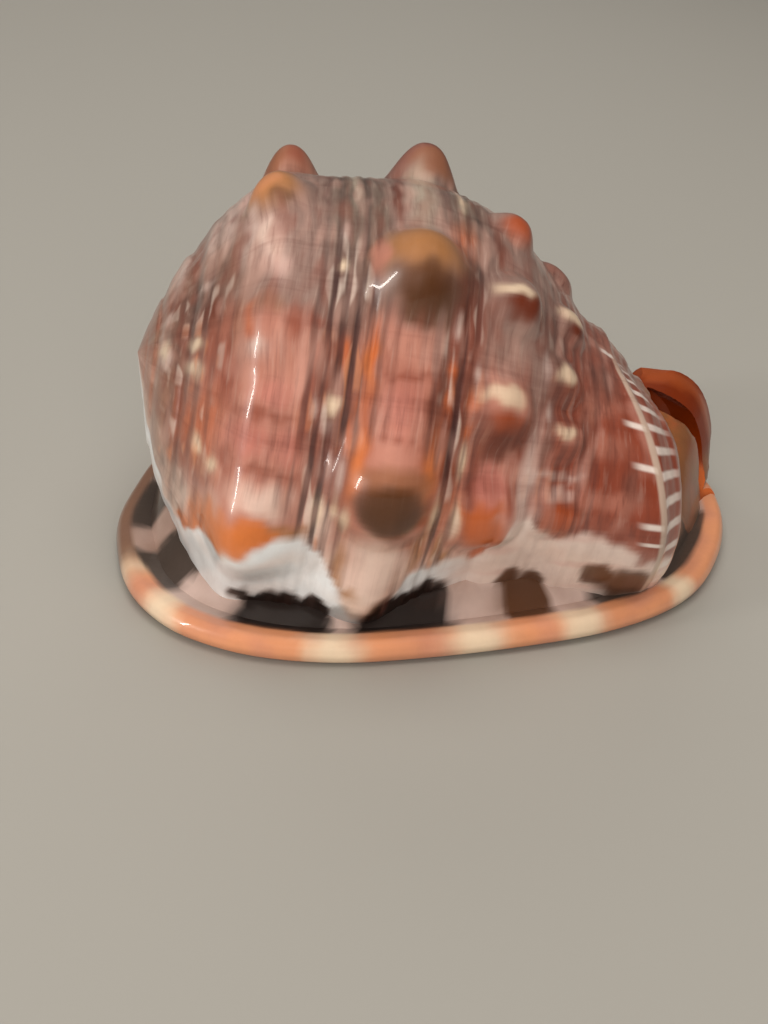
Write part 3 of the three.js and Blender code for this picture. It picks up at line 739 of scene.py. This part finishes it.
def spot(along, turn, mark_along, mark_turn, half_along, half_turn, crisp=1.4):
    away = ((along - mark_along) / half_along) ** 2 + ((turn - mark_turn) / half_turn) ** 2
    return np.exp(-away ** crisp)


def dab(tint, marks, along, turn, crisp=1.4):
    for colour, strength, places in marks:
        for mark in places:
            tint = over(tint, colour, strength * spot(along, turn, *mark, crisp))
    return tint


def whorl_colours(points):
    # The tint, the strength of the dark lines, pale beads and weave, and the coil's coordinates.
    along, turn, lift = own_coordinates(points)
    drift = ripple(points, 14, 11)
    along_w = along + 0.6 * ripple(points, 7, 12)
    turn_w = turn + 1.3 * ripple(points, 6, 13)
    at_turn = turn_w + 5 * drift
    tint = np.stack([np.interp(at_turn, GROUND_TURNS, channel) for channel in np.array(GROUND_AND_TOP_SHEEN).T], -1)
    tint = dab(tint, WASHES, along_w, turn_w)
    for s, t, _, foot in KNOBS:
        if t > REAR_FROM:
            continue
        # The knob's foot in degrees of turn.
        spread = foot * DEGREES_ROUND / max(20, radius_at(s))
        near_side = spot(along_w, turn_w, s, t + 0.45 * spread, 0.45 * foot, 0.28 * spread)
        far_side = spot(along_w, turn_w, s, t, 0.42 * foot, 0.42 * spread)
        tint = over(over(tint, CREAM, 0.8 * near_side), REAR_COATS[s], 0.95 * far_side)
    tint = dab(tint, KNOB_SPOTS, along_w, turn_w, 2.2)
    tint = dab(tint, KNOB_CAPS, 0.7 * along + 0.3 * along_w, 0.7 * turn + 0.3 * turn_w, 4)
    tint = dab(tint, BEADS, along + 0.25 * drift, turn_w)
    tint = over(tint, RUST_BROWN, rise(114.5, 117, along + drift * 0.4) * 0.9)
    starts = np.interp(along_w, *zip(*CALLUS_STARTS))
    callus = rise(-1.8, 1.8, turn_w - starts)
    glaze = over(np.broadcast_to(BLUE_WHITE, tint.shape), BLUSH, rise(66, 82, along) * 0.8)
    glaze = over(glaze, BLUSH, 0.3 * rise(-0.2, 0.8, ripple(points, 12, 21)))
    rosy = ripple(np.stack([turn * 0.8, along * 0.2], -1), 4, 22)
    glaze = over(glaze, ROSE, 0.25 * rise(0.1, 0.9, rosy) * rise(66, 82, along))
    tint = tint + (glaze - tint) * callus[:, None]
    # Painted shadow: smoke grey just under the lip bulge. Then the dark climbs, which go to coal short of
    # 80 mm along; under the bulge that coal is partly painted shadow too.
    tint = dab(tint, [(SMOKE, 0.6, [(53, 119, 4, 4)]), (OLIVE_BROWN, 0.95, CLIMBS_AND_BULGE_SHADOW)], along_w, turn_w, 4)
    climbed = sum(spot(along_w, turn_w, *mark, 4) for mark in CLIMBS_AND_BULGE_SHADOW)
    tint = over(tint, COAL, 0.9 * rise(0.5, 1, climbed) * (along < 80))
    back = rise(118, 136, -turn_w)
    tint = over(tint, SALMON, 0.8 * back)
    bulge = spot(along, turn, *LIP_BULGE)
    plain = (1 - callus) * (1 - back)
    zone = (bell(along - 42.5, 8) + 0.9 * bell(along - 66, 5.5)
            + 0.35 * rise(82, 88, along) * (1 - rise(100, 104, along))
            + 0.4 * bell(along - 14, 6))
    top = 1 - 0.45 * rise(45, 25, turn) * rise(-60, -40, turn)
    lines = np.clip(0.05 + zone, 0, 1) * plain * (1 - rise(112, 114, along)) * (1 - bulge) * top
    beaded = (0.7 * bell(along - 14, 7) + 0.75 * bell(along - 42.5, 6)
              + 0.75 * bell(along - 66, 4.5) + 0.25 * bell(along - 88, 8))
    beads = np.clip(beaded, 0, 1) * plain * (2 * top - 1)
    bare = 1 - 0.9 * rise(0.6, 3.5, lift)
    weave = (0.12 + 0.88 * plain * (1 - 0.85 * bulge)) * bare
    return tint, lines * bare, beads * bare, weave, along, turn


def lip_colours(points):
    plan = points[:, :2]
    around = np.linspace(0, 1, 1400, endpoint=False)
    edge, mouth = way_in(around)
    nearest = np.array([np.argmin(((edge - spot_plan) ** 2).sum(1)) for spot_plan in plan])
    at = around[nearest]
    inset = np.linalg.norm(edge[nearest] - plan, axis=1)
    share = inset / np.linalg.norm(mouth[nearest] - edge[nearest], axis=1)
    drift = ripple(points, 12, 31)
    at_w = at + 0.0025 * ripple(points, 6, 32)
    top = rise(2.5, 4.5, points[:, 2])
    rim = np.broadcast_to(PEACH, points.shape)
    rim = over(rim, SALMON, 0.5 * rise(-0.6, 0.8, drift))
    for middle, half in RIM_CREAM:
        rim = over(rim, CREAM, 0.95 * np.exp(-(((at_w - middle) / half) ** 2) ** 1.5))
    # The rim's left end is a darker brown.
    left = np.maximum(rise(0.12, 0.085, at), rise(0.93, 0.96, at))
    rim = over(rim, RIM_END_BROWN, 0.9 * left)
    rim = over(rim, CREAM, 0.6 * bell(at_w - 0.103, 0.01))
    shelf = over(np.broadcast_to(PALE_MAUVE, points.shape), TAUPE, 0.4 * rise(-0.5, 0.9, drift))
    shelf = over(shelf, TAUPE, 0.5 * rise(0.13, 0.1, at))
    for start, end, colour in SHELF_PATCHES:
        inside = rise(start - 0.004, start + 0.003, at_w) * (1 - rise(end - 0.003, end + 0.004, at_w))
        shelf = over(shelf, colour, 0.96 * inside)
    inner = rise(4.4, 5.8, inset + 0.3 * drift + 1.5 * left)
    above = rim + (shelf - rim) * inner[:, None]
    below = over(rim, DEEP_ORANGE, 0.7 * rise(0.3, 0.6, share + 0.04 * drift))
    below = over(below, PLUM, 0.35 * rise(0.62, 0.9, share) * (at > 0.5))
    return below + (above - below) * top[:, None]


def canal_colours(points):
    drift = ripple(points, 7, 41)
    streak = ripple(points * np.array([1.0, 0.35, 0.5]), 3.5, 42)
    tint = over(np.broadcast_to(RUST_BROWN, points.shape), BRICK, 0.45 * rise(-0.3, 0.9, drift))
    tint = over(tint, DEEP_ORANGE, 0.3 * rise(0.1, 0.8, streak))
    tint = over(tint, SMOKE, 0.6 * rise(15, 5, points[:, 2]) * rise(8, 0, points[:, 1]))
    far = rise(11, 13, points[:, 1] + drift * 0.5) * rise(10, 15, points[:, 2])
    tint = over(tint, RED_BROWN, far)
    # Painted highlight: the far wall is lit deep orange within about 1.5 mm of its top edge.
    outline = np.array(CANAL_FAR_EDGE, float)
    steps = np.linspace(0, len(outline) - 1, 200)
    line = np.stack([np.interp(steps, np.arange(len(outline)), column) for column in outline.T], -1)
    from_lit_edge = np.sqrt(((points[:, None, ::2] - line) ** 2).sum(-1)).min(axis=1)
    return over(tint, DEEP_ORANGE, 0.4 * far * rise(1.5, 0.3, from_lit_edge) * rise(12, 18, points[:, 2]))


def lining_colours(points):
    tint = over(np.broadcast_to(DEEP_ORANGE, points.shape), CHESTNUT, 0.6 * rise(10, 30, points[:, 2]))
    return over(tint, RED_BROWN, rise(46, 52, points[:, 0]) * rise(8, 12, points[:, 2]))


def tooth_colours(points):
    return over(np.broadcast_to(CREAM, points.shape), PEACH, 0.4 * rise(-0.5, 1, ripple(points, 3, 51)))


def give_colours(piece):
    # Paints each vertex by its place and part, and keeps the coil's coordinates for the materials.
    points = spots(piece)
    count = len(points)
    part_of = np.empty(len(piece.data.polygons), int)
    piece.data.polygons.foreach_get("material_index", part_of)
    corner_spot = np.empty(len(piece.data.loops), int)
    piece.data.loops.foreach_get("vertex_index", corner_spot)
    sizes = np.empty(len(piece.data.polygons), int)
    piece.data.polygons.foreach_get("loop_total", sizes)
    corner_part = np.repeat(part_of, sizes)
    tint, lines, beads, weave, along, turn = whorl_colours(points)
    corner_tint = np.ones((len(corner_spot), 4))
    for index, colours in enumerate([None, lip_colours, canal_colours, lining_colours, tooth_colours]):
        mine = corner_part == index
        if not mine.any():
            continue
        used = np.unique(corner_spot[mine])
        shade = np.zeros((count, 3))
        shade[used] = tint[used] if colours is None else colours(points[used])
        corner_tint[mine, :3] = shade[corner_spot[mine]]
    layer = piece.data.attributes.new("tint", "FLOAT_COLOR", "CORNER")
    layer.data.foreach_set("color", corner_tint.ravel())
    kept = (("cord", along), ("turn", turn), ("lines", lines), ("beads", beads), ("weave", weave))
    for name, values in kept:
        layer = piece.data.attributes.new(name, "FLOAT", "POINT")
        layer.data.foreach_set("value", np.ascontiguousarray(values, float))


class Finish:
    # A material made node by node; each step gives back the socket that it ends in.
    def __init__(self, name, roughness, coat, coat_roughness):
        self.material = bpy.data.materials.new(name)
        self.material.use_nodes = True
        self.tree = self.material.node_tree
        self.shader = self.tree.nodes["Principled BSDF"]
        self.shader.inputs["Roughness"].default_value = roughness
        self.shader.inputs["Coat Weight"].default_value = coat
        self.shader.inputs["Coat Roughness"].default_value = coat_roughness
        self.shader.inputs["IOR"].default_value = 1.5

    def node(self, kind, **settings):
        made = self.tree.nodes.new(kind)
        for key, value in settings.items():
            setattr(made, key, value)
        return made

    def put(self, value, socket):
        if isinstance(value, bpy.types.NodeSocket):
            self.tree.links.new(value, socket)
        else:
            socket.default_value = value

    def read(self, name, colour=False):
        made = self.node("ShaderNodeAttribute", attribute_name=name)
        return made.outputs["Color" if colour else "Fac"]

    def sum(self, how, *values):
        made = self.node("ShaderNodeMath", operation=how)
        for value, socket in zip(values, made.inputs):
            self.put(value, socket)
        return made.outputs[0]

    def fit(self, value, low, high, to_low=0.0, to_high=1.0):
        made = self.node("ShaderNodeMapRange", interpolation_type="SMOOTHSTEP")
        for given, socket in zip((value, low, high, to_low, to_high), made.inputs):
            self.put(given, socket)
        return made.outputs[0]

    def mix(self, share, first, second, how="MIX"):
        made = self.node("ShaderNodeMix", data_type="RGBA", blend_type=how)
        self.put(share, made.inputs[0])
        self.put(first, made.inputs[6])
        self.put(second, made.inputs[7])
        return made.outputs[2]

    def join(self, x, y, z=0.0):
        made = self.node("ShaderNodeCombineXYZ")
        for value, socket in zip((x, y, z), made.inputs):
            self.put(value, socket)
        return made.outputs[0]

    def noise(self, vector, scale, detail=2.0, roughness=0.5):
        made = self.node("ShaderNodeTexNoise")
        self.put(vector, made.inputs["Vector"])
        made.inputs["Scale"].default_value = scale
        made.inputs["Detail"].default_value = detail
        made.inputs["Roughness"].default_value = roughness
        return made.outputs["Fac"]

    def place(self):
        return self.node("ShaderNodeTexCoord").outputs["Object"]

    def colour(self, value):
        self.put(value, self.shader.inputs["Base Color"])

    def relief(self, height, distance, strength=1.0):
        made = self.node("ShaderNodeBump")
        made.inputs["Distance"].default_value = distance
        made.inputs["Strength"].default_value = strength
        self.put(height, made.inputs["Height"])
        self.put(made.outputs[0], self.shader.inputs["Normal"])


def shade(colour):
    return (*colour, 1.0)


def whorl_finish():
    f = Finish("knobbed_whorl", 0.34, 0.4, 0.06)
    names = ("cord", "turn", "lines", "beads", "weave")
    cord, turn, lines, beads, weave = (f.read(name) for name in names)
    tint = f.read("tint", colour=True)
    place_in = f.place()
    sway = f.sum("MULTIPLY", f.sum("SUBTRACT", f.noise(place_in, 60.0), 0.5), 1.1)
    swaying = f.sum("ADD", cord, sway)
    phase = f.sum("DIVIDE", swaying, CORD_PITCH)
    off = f.sum("ABSOLUTE", f.sum("SUBTRACT", phase, f.sum("ROUND", phase)))
    # Soft streaks that run round with the cords, finer and sharper on the front end.
    front = f.sum("MULTIPLY", f.fit(cord, 83.0, 90.0), f.fit(cord, 106.0, 103.0))
    fine = f.noise(f.join(f.sum("MULTIPLY", phase, 3.2), f.sum("MULTIPLY", turn, 0.09)), 1.0, 3.0, 0.55)
    dark_share = f.sum("MULTIPLY", f.sum("ADD", 0.26, f.sum("MULTIPLY", front, 0.2)), weave)
    body = f.mix(f.sum("MULTIPLY", f.fit(fine, 0.5, 0.68), dark_share), tint, shade(STREAK_BROWN))
    body = f.mix(f.sum("MULTIPLY", f.fit(fine, 0.46, 0.3, 0.0, 0.1), weave), body, shade(STREAK_PALE))
    long = f.noise(f.join(f.sum("ADD", phase, 31.0), f.sum("MULTIPLY", turn, 0.045)), 1.0, 2.0, 0.5)
    line = f.sum("MULTIPLY", f.fit(off, 0.12, 0.4), f.sum("MULTIPLY", f.fit(long, 0.34, 0.56), lines))
    body = f.mix(f.sum("MULTIPLY", line, 0.86), body, shade(LINE_BROWN))
    # Pale and orange beads, long drops on the cords.
    blob = f.noise(f.join(f.sum("MULTIPLY", phase, 1.0), f.sum("MULTIPLY", turn, 0.1)), 1.0, 0.0)
    bead = f.sum("MULTIPLY", f.fit(off, 0.36, 0.16), f.sum("MULTIPLY", f.fit(blob, 0.52, 0.66), beads))
    warm = f.noise(f.join(f.sum("MULTIPLY", phase, 0.5), f.sum("MULTIPLY", turn, 0.05), 5.0), 1.0, 1.0)
    warm = f.sum("MULTIPLY", f.fit(warm, 0.44, 0.56), f.fit(turn, 45.0, 60.0))
    body = f.mix(f.sum("MULTIPLY", bead, 0.7), body, f.mix(warm, shade(BEAD_PALE), shade(BEAD_WARM)))
    across = f.sum("MULTIPLY", cord, 0.24)
    patch = f.noise(f.join(across, f.sum("MULTIPLY", turn, 0.055), 9.0), 1.0, 1.0, 0.5)
    body = f.mix(f.sum("MULTIPLY", f.fit(patch, 0.5, 0.7, 0.0, 0.34), weave), body, shade(CLOUD_BROWN))
    body = f.mix(f.sum("MULTIPLY", f.fit(patch, 0.48, 0.3, 0.0, 0.24), weave), body, shade(CLOUD_PALE))
    # White bars in front of the thread, and the pale thread itself.
    side = f.sum("ABSOLUTE", turn)
    thread_at = f.fit(side, 30.0, 112.0, *THREAD)
    past = f.sum("SUBTRACT", cord, thread_at)
    swaying_turn = f.sum("ADD", turn, sway)
    step = f.sum("DIVIDE", f.sum("SUBTRACT", swaying_turn, f.sum("MULTIPLY", past, 0.22)), BAR_PITCH)
    apart = f.sum("ABSOLUTE", f.sum("SUBTRACT", step, f.sum("ROUND", step)))
    reach = f.sum("MULTIPLY", f.fit(past, 0.2, 0.8), f.fit(past, 8.5, 2.5))
    bar = f.sum("MULTIPLY", f.sum("MULTIPLY", f.fit(apart, 0.25, 0.09), reach), f.fit(side, 20.0, 45.0))
    body = f.mix(f.sum("MULTIPLY", bar, 0.85), body, shade(BAR_WHITE))
    before = f.sum("MULTIPLY", f.fit(past, -3.8, -1.8), f.fit(past, 0.2, -0.2))
    for at, half in BARS:
        leaning = f.sum("ADD", at, f.sum("MULTIPLY", past, 0.3))
        off_bar = f.sum("ABSOLUTE", f.sum("SUBTRACT", swaying_turn, leaning))
        white = f.sum("MULTIPLY", f.fit(off_bar, half, half * 0.25), before)
        body = f.mix(f.sum("MULTIPLY", white, 0.9), body, shade(BAR_WHITE))
    thread = f.sum("MULTIPLY", f.fit(f.sum("ABSOLUTE", past), 0.8, 0.3), f.fit(side, 20.0, 45.0))
    body = f.mix(f.sum("MULTIPLY", thread, 0.8), body, shade(THREAD_GREY))
    # Faint growth lines across the cords.
    growth = f.noise(f.join(f.sum("MULTIPLY", turn, 0.15), f.sum("MULTIPLY", cord, 0.02)), 1.0, 4.0, 0.65)
    faint = f.sum("MULTIPLY", f.fit(growth, 0.5, 0.72, 0.0, 0.3), weave)
    body = f.mix(faint, body, shade(GROWTH_BROWN), "MULTIPLY")
    cloud = f.noise(place_in, 150.0, 3.0, 0.6)
    body = f.mix(0.5, body, f.mix(cloud, shade(MOTTLE_PALE), shade(WHITE)), "MULTIPLY")
    f.colour(body)
    dips = f.sum("ADD", f.sum("MULTIPLY", line, -0.5), f.sum("MULTIPLY", bead, 0.5))
    f.relief(f.sum("ADD", dips, f.sum("MULTIPLY", cloud, 0.15)), 0.00013)
    return f.material


def plain_finish(name, roughness, coat, mottle, distance):
    f = Finish(name, roughness, coat, 0.06)
    cloud = f.noise(f.place(), 130.0, 4.0, 0.6)
    mottled = f.mix(cloud, shade(MOTTLE_GREY), shade(WHITE))
    f.colour(f.mix(mottle, f.read("tint", colour=True), mottled, "MULTIPLY"))
    f.relief(cloud, distance)
    return f.material


def assemble():
    whorl, lip, front = knobbed_whorl(), lip_and_shield(), canal()
    cutters = [slot_cutter(), groove_cutter(), hollow_cutter()]
    bars = [ridges("lip_teeth", *LIP_TEETH), ridges("columella_folds", *COLUMELLA_FOLDS)]
    materials = [whorl_finish(), plain_finish("lip_and_shield", 0.34, 0.4, 0.35, 0.00015),
                 plain_finish("siphonal_canal", 0.38, 0.3, 0.4, 0.0002),
                 plain_finish("aperture_lining", 0.25, 0.8, 0.3, 0.0001),
                 plain_finish("tooth_enamel", 0.22, 0.9, 0.25, 0.00008)]
    parts = [(whorl, 0), (lip, 1), (front, 2)]
    parts += [(cutter, 3) for cutter in cutters] + [(bar, 4) for bar in bars]
    for piece, index in parts:
        piece.data.materials.clear()
        for material in materials:
            piece.data.materials.append(material)
        indices = np.full(len(piece.data.polygons), index, np.int32)
        piece.data.polygons.foreach_set("material_index", indices)
    combine(whorl, lip, "UNION")
    combine(whorl, front, "UNION")
    for cutter in cutters:
        combine(whorl, cutter, "DIFFERENCE")
    for bar in bars:
        combine(whorl, bar, "UNION")
    return whorl


def finish_piece(piece):
    give_colours(piece)
    points = (spots(piece) - PLAN_CENTRE) * MM
    move_spots(piece, points)
    take(piece)
    bpy.ops.object.shade_smooth_by_angle(angle=math.radians(38))
    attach(piece, "root")
    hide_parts("shell")


# The camera, in metres: where it stands, and its right, up and backward directions.
EYE = (-0.03248, -0.30135, 0.1676)
EYE_AXES = [(0.9979, -0.0452, 0.0462), (-0.0195, 0.4714, 0.8817), (-0.0616, -0.8808, 0.4695)]
LENS = 50
SENSOR = 36
# Lamps, in metres: place, aim, width, height, watts, and whether its reflection shows.
LAMPS = [
    ("window_left", (-1.13, -0.41, 0.4), (0, 0, 0.04), 0.07, 0.55, 5, True),
    ("overhead", (0.0, 0.0, 1.3), (0, 0, 0), 1.4, 1.4, 16, False),
    ("front_fill", (-0.1, -1.4, 0.7), (0, 0, 0.03), 1.2, 0.9, 17, False),
    ("rear_fill", (-0.2, 1.3, 0.8), (0, 0, 0.03), 1.2, 0.8, 6, False)]
LAMP_COLOUR = (1.0, 0.955, 0.9)
ROOM_LIGHT = 0.12
FLOOR_SIZE = 6


def studio():
    take_nothing()
    bpy.ops.mesh.primitive_plane_add(size=FLOOR_SIZE, location=(0, 0, 0))
    floor = named("floor")
    pale = bpy.data.materials.new("pale_floor")
    pale.use_nodes = True
    skin = pale.node_tree.nodes["Principled BSDF"]
    skin.inputs["Base Color"].default_value = shade(FLOOR_PALE)
    skin.inputs["Roughness"].default_value = 0.6
    floor.data.materials.append(pale)
    for name, place_at, aim, size, size_y, power, mirrored in LAMPS:
        bpy.ops.object.light_add(type="AREA", location=place_at)
        lamp = bpy.context.object
        lamp.name = name
        lamp.data.shape = "RECTANGLE"
        lamp.data.color = LAMP_COLOUR
        lamp.visible_glossy = mirrored
        lamp.data.size, lamp.data.size_y, lamp.data.energy = size, size_y, power
        lamp.rotation_euler = (Vector(aim) - Vector(place_at)).to_track_quat("-Z", "Y").to_euler()
    world = bpy.data.worlds.new("soft_room")
    bpy.context.scene.world = world
    world.use_nodes = True
    background = world.node_tree.nodes["Background"]
    background.inputs["Color"].default_value = shade(ROOM_PALE)
    background.inputs["Strength"].default_value = ROOM_LIGHT


def camera():
    bpy.ops.object.camera_add()
    eye = bpy.context.object
    eye.matrix_world = Matrix.Translation(EYE) @ Matrix(EYE_AXES).transposed().to_4x4()
    eye.data.lens = LENS
    eye.data.sensor_width = SENSOR
    eye.data.clip_start = 0.01
    bpy.context.scene.camera = eye
    bpy.context.scene.view_settings.view_transform = "Standard"


camera()
studio()
shell = assemble()
finish_piece(shell)
